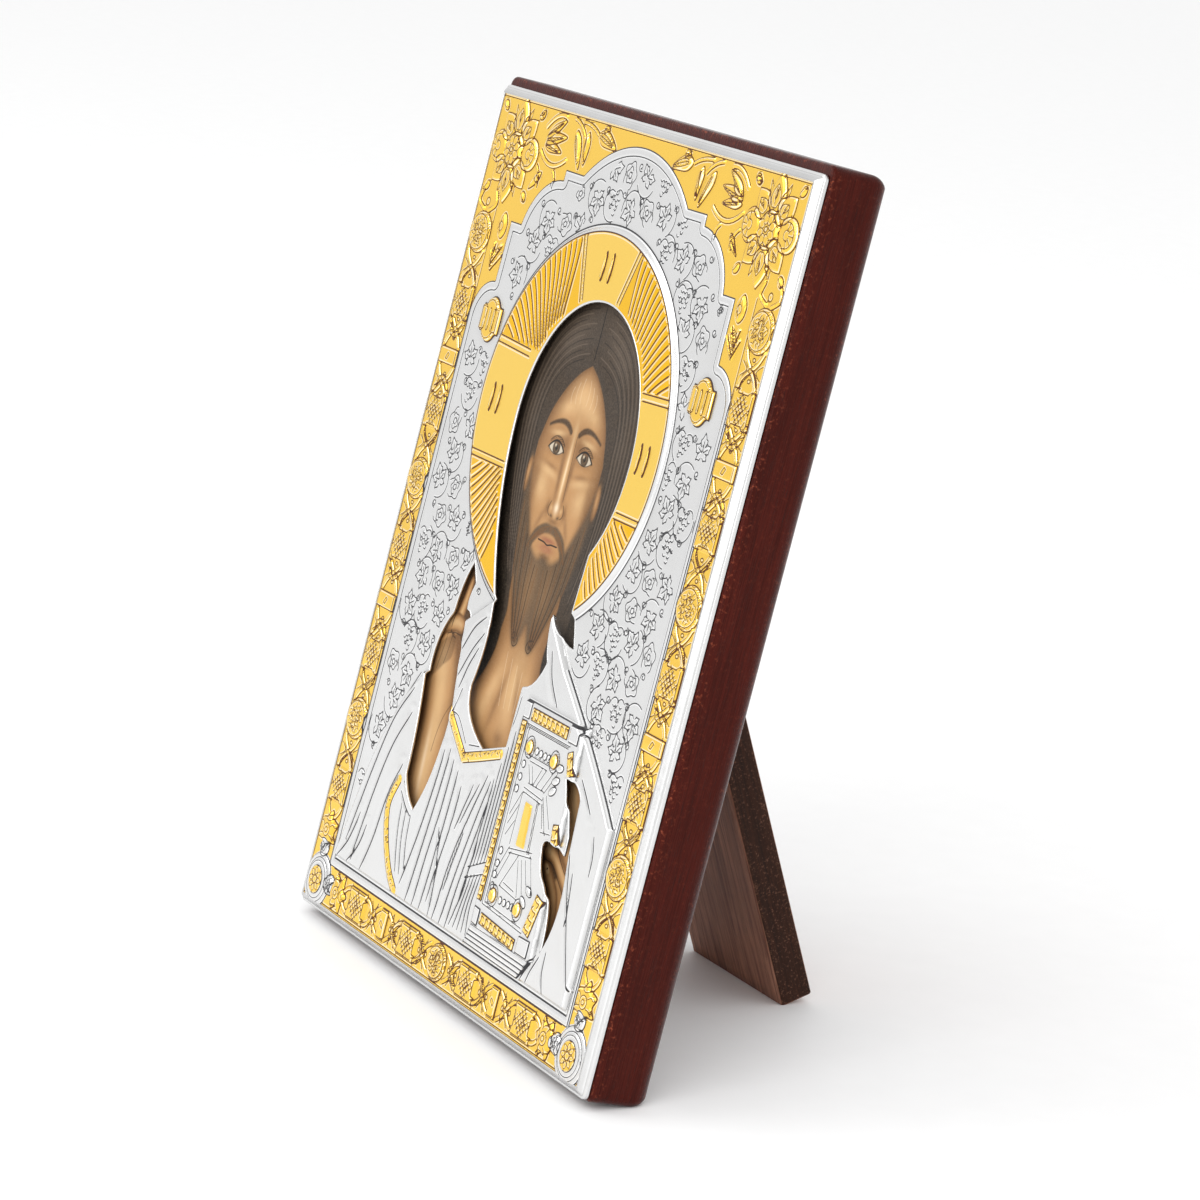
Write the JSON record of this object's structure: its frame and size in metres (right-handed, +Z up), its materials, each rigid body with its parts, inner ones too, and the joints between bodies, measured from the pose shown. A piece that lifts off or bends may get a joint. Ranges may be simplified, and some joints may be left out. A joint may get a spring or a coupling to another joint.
{
  "type": "icon panel",
  "caption": "Wooden icon panel that leans on a folding strut, with a printed figure under an embossed silver and gilt cover.",
  "frame": {"origin": "on the ground, under the middle of the standing icon's box", "axes": "+Z up, -Y out of the icon's front, +X to a viewer's right"},
  "size_m": [0.167, 0.0948, 0.2173],
  "materials": {
    "board_wood": "dark red-brown stain under satin varnish",
    "strut_wood": "thin brown stain, matt",
    "silver": "polished silver plate with dark patina in the lines",
    "gilding": "polished gilding with brown patina in the lines",
    "print": "printed picture, satin",
    "hinge_brass": "plain stamped brass"
  },
  "bodies": {
    "panel": {"board": "board_wood", "picture": "print", "cover": "silver", "hinge_board_leaf": "hinge_brass", "hinge_pin": "hinge_brass"},
    "strut_body": {"strut": "strut_wood", "hinge_strut_leaf": "hinge_brass"}
  },
  "joints": [
    {"name": "strut_fold", "type": "hinge", "parent": "panel", "child": "strut_body", "pos_m": [0, -0.0024, 0.11527], "axis": [1, 0, 0], "range_deg": [-30.7, 0]}
  ]
}
